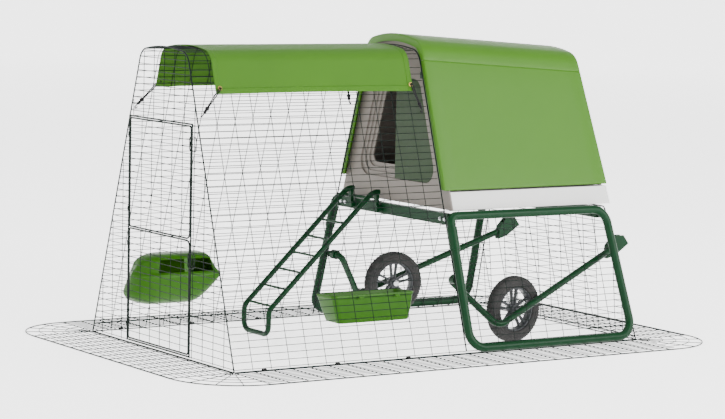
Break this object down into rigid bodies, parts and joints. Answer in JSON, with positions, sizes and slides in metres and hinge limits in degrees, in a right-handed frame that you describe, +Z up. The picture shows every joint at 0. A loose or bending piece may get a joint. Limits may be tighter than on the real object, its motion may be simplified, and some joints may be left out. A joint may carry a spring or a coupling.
{
  "type": "chicken coop",
  "caption": "Movable chicken coop: wire-mesh run with a fabric shade cover, a green moulded hen house on a tube frame with wheel levers, a ladder, a feeder and a drinker.",
  "frame": {"origin": "Centre of the bounding box's bottom face: the middle of the footprint with the wire skirt, on the ground.", "axes": "+X from the run's door end to the house end, +Y from the drinker's side to the feeder's side, +Z up."},
  "size_m": [2.285, 1.569, 1.1479],
  "materials": {
    "wire": "dark green plastic-coated wire",
    "clip": "black elastic and clips",
    "frame": "dark green satin powder coat",
    "steel": "zinc-plated steel",
    "rim": "dark grey moulded",
    "tyre": "black rubber",
    "base": "white moulded",
    "wall": "warm grey moulded",
    "lid": "leaf green moulded, satin",
    "door": "leaf green moulded",
    "catch": "dark green moulded",
    "handle": "black moulded",
    "tray": "dark grey moulded",
    "roost": "plain sanded wood",
    "cover": "green woven sheet",
    "brass": "pressed eyelets",
    "feeder": "leaf green moulded"
  },
  "bodies": {
    "coop": {"side_mesh_near": "wire", "side_mesh_far": "wire", "roof_mesh": "wire", "run_hoops": "wire", "door_end_mesh": "wire", "house_end_mesh": "wire", "skirt_sides": "wire", "skirt_ends": "wire", "skirt_corners": "wire", "mesh_clips": "clip", "door_jamb": "wire", "frame_loop_near": "frame", "frame_loop_far": "frame", "front_beam": "frame", "rear_beam": "frame", "beam_bolts": "steel", "leg_sleeves": "frame", "lever_bushes": "frame", "house_base": "base", "front_wall": "wall", "doorway_surround": "wall", "fixed_door_panel": "door", "pop_door_rails": "wall", "lid_roof": "lid", "lid_side_near": "lid", "lid_side_far": "lid", "lid_catches": "catch", "inner_shell": "wall", "rear_wall": "wall", "rear_door_hinge": "steel", "roost_bars": "roost", "nest_divider": "wall", "shade_cover": "cover", "cover_eyelets": "brass", "bungees": "clip", "ladder_brackets": "frame"},
    "upper_leaf": {"upper_door_frame": "wire", "upper_door_mesh": "wire"},
    "upper_latch": {"upper_door_latch": "wire"},
    "lower_leaf": {"lower_door_frame": "wire", "lower_door_mesh": "wire"},
    "lower_latch": {"lower_door_latch": "wire"},
    "hen_door": {"pop_door": "door", "pop_door_rod": "steel"},
    "back_door": {"rear_door": "door"},
    "back_handle": {"rear_door_handle": "handle"},
    "tray_drawer": {"droppings_tray": "tray"},
    "near_lever": {"lever_near": "frame", "lever_handle_near": "frame", "axle_near": "steel"},
    "near_wheel": {"rim_near": "rim", "tyre_near": "tyre"},
    "far_lever": {"lever_far": "frame", "lever_handle_far": "frame", "axle_far": "steel"},
    "far_wheel": {"rim_far": "rim", "tyre_far": "tyre"},
    "ramp": {"ladder": "frame"},
    "hanging_feeder": {"feeder": "feeder"},
    "hanging_drinker": {"drinker": "feeder"}
  },
  "joints": [
    {"name": "upper_door_hinge", "type": "hinge", "parent": "coop", "child": "upper_leaf", "pos_m": [-0.8946, 0.2425, 0.64], "axis": [0, 0, -1], "range_deg": [0, 115]},
    {"name": "upper_latch_turn", "type": "hinge", "parent": "upper_leaf", "child": "upper_latch", "pos_m": [-0.8946, -0.215, 0.773], "axis": [0, 0, -1], "range_deg": [0, 100]},
    {"name": "lower_door_hinge", "type": "hinge", "parent": "coop", "child": "lower_leaf", "pos_m": [-0.8946, 0.2425, 0.22], "axis": [0, 0, -1], "range_deg": [0, 115]},
    {"name": "lower_latch_turn", "type": "hinge", "parent": "lower_leaf", "child": "lower_latch", "pos_m": [-0.8946, -0.215, 0.359], "axis": [0, 0, -1], "range_deg": [0, 100]},
    {"name": "hen_door_slide", "type": "slide", "parent": "coop", "child": "hen_door", "axis": [0, 1, 0], "range_m": [0, 0.2]},
    {"name": "back_door_hinge", "type": "hinge", "parent": "coop", "child": "back_door", "pos_m": [0.86019, 0, 0.617], "axis": [0, 1, 0], "range_deg": [0, 90]},
    {"name": "back_handle_turn", "type": "hinge", "parent": "back_door", "child": "back_handle", "pos_m": [0.83823, 0, 0.79], "axis": [0.9958, 0, 0.0916], "range_deg": [0, 90]},
    {"name": "tray_slide", "type": "slide", "parent": "coop", "child": "tray_drawer", "axis": [1, 0, 0], "range_m": [0, 0.6]},
    {"name": "near_lever_hinge", "type": "hinge", "parent": "coop", "child": "near_lever", "pos_m": [0.1195, -0.413, 0.26], "axis": [0, 1, 0], "range_deg": [0, 12]},
    {"name": "near_wheel_spin", "type": "hinge", "parent": "near_lever", "child": "near_wheel", "pos_m": [0.3935, -0.406, 0.134], "axis": [-0.1045, 0.9945, 0], "continuous": true},
    {"name": "far_lever_hinge", "type": "hinge", "parent": "coop", "child": "far_lever", "pos_m": [0.1195, 0.413, 0.26], "axis": [0, 1, 0], "range_deg": [0, 12]},
    {"name": "far_wheel_spin", "type": "hinge", "parent": "far_lever", "child": "far_wheel", "pos_m": [0.3935, 0.406, 0.134], "axis": [0.1045, 0.9945, 0], "continuous": true},
    {"name": "ramp_hinge", "type": "hinge", "parent": "coop", "child": "ramp", "pos_m": [0.0935, 0.17, 0.478], "axis": [0, 1, 0], "range_deg": [0, 15]},
    {"name": "feeder_lift", "type": "slide", "parent": "coop", "child": "hanging_feeder", "axis": [0, -0.3137, 0.9495], "range_m": [0, 0.015]},
    {"name": "drinker_lift", "type": "slide", "parent": "coop", "child": "hanging_drinker", "axis": [0, 0.3137, 0.9495], "range_m": [0, 0.015]}
  ]
}
